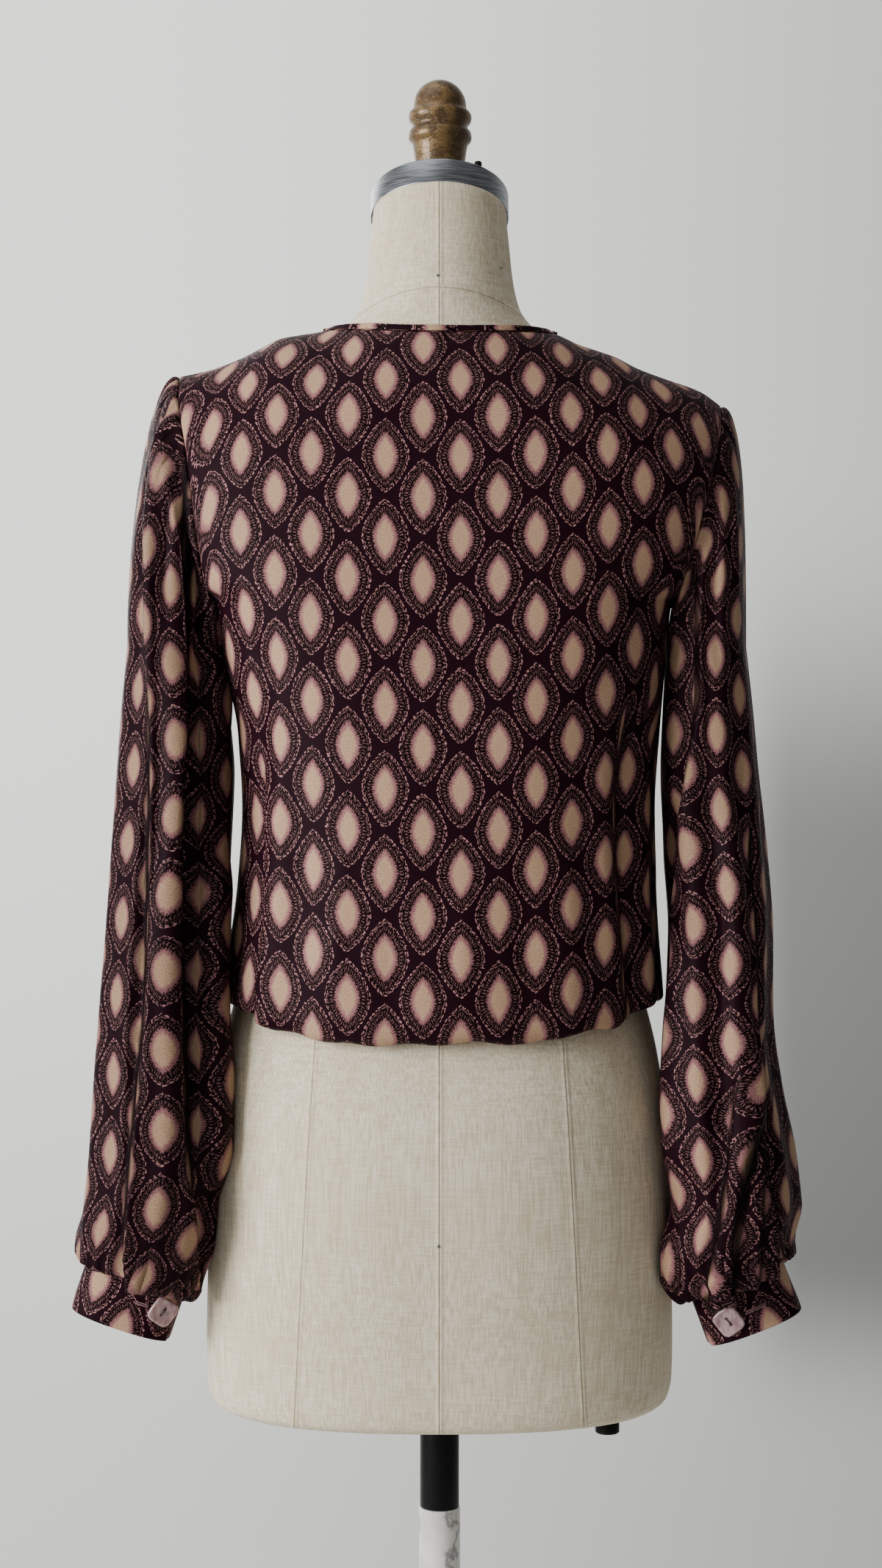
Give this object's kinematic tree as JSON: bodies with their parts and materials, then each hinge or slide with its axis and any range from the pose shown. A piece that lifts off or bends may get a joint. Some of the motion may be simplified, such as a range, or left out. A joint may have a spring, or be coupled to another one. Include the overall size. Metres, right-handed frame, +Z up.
{
  "type": "blouse on dress form",
  "caption": "Long-sleeved blouse with gathered full sleeves, buttoned cuffs and a bloused hem, standing on a limbless dress form with a pole and round base.",
  "frame": {"origin": "centre of the base's underside, on the floor", "axes": "+Z up, the blouse's front faces -Y and its back faces +Y, the wearer's left is +X"},
  "size_m": [0.4828, 0.37, 1.571],
  "materials": {
    "printed_cloth": "fluid satin-faced crepe with a soft sheen, dark aubergine ground with cream and dusty pink ogee motifs",
    "button": "pearly mauve, polished, rounded square with two holes",
    "form_linen": "unbleached linen pasted over a stiff shell, plain weave with slubs",
    "neck_metal": "brushed round the rim, lightly worn",
    "finial_wood": "turned wood in aged bronze paint",
    "black_metal": "satin black paint",
    "marbled_metal": "white finish with soft grey marbling, satin"
  },
  "bodies": {
    "root": {"blouse_back": "printed_cloth", "blouse_front": "printed_cloth", "left_sleeve": "printed_cloth", "right_sleeve": "printed_cloth", "left_cuff": "printed_cloth", "right_cuff": "printed_cloth", "left_cuff_button": "button", "right_cuff_button": "button", "neck_binding": "printed_cloth", "form_torso": "form_linen", "neck_cap": "neck_metal", "finial": "finial_wood", "cap_bolt": "black_metal", "black_pole": "black_metal", "marbled_pole": "marbled_metal", "form_knob": "black_metal", "stand_base": "black_metal"}
  },
  "joints": []
}
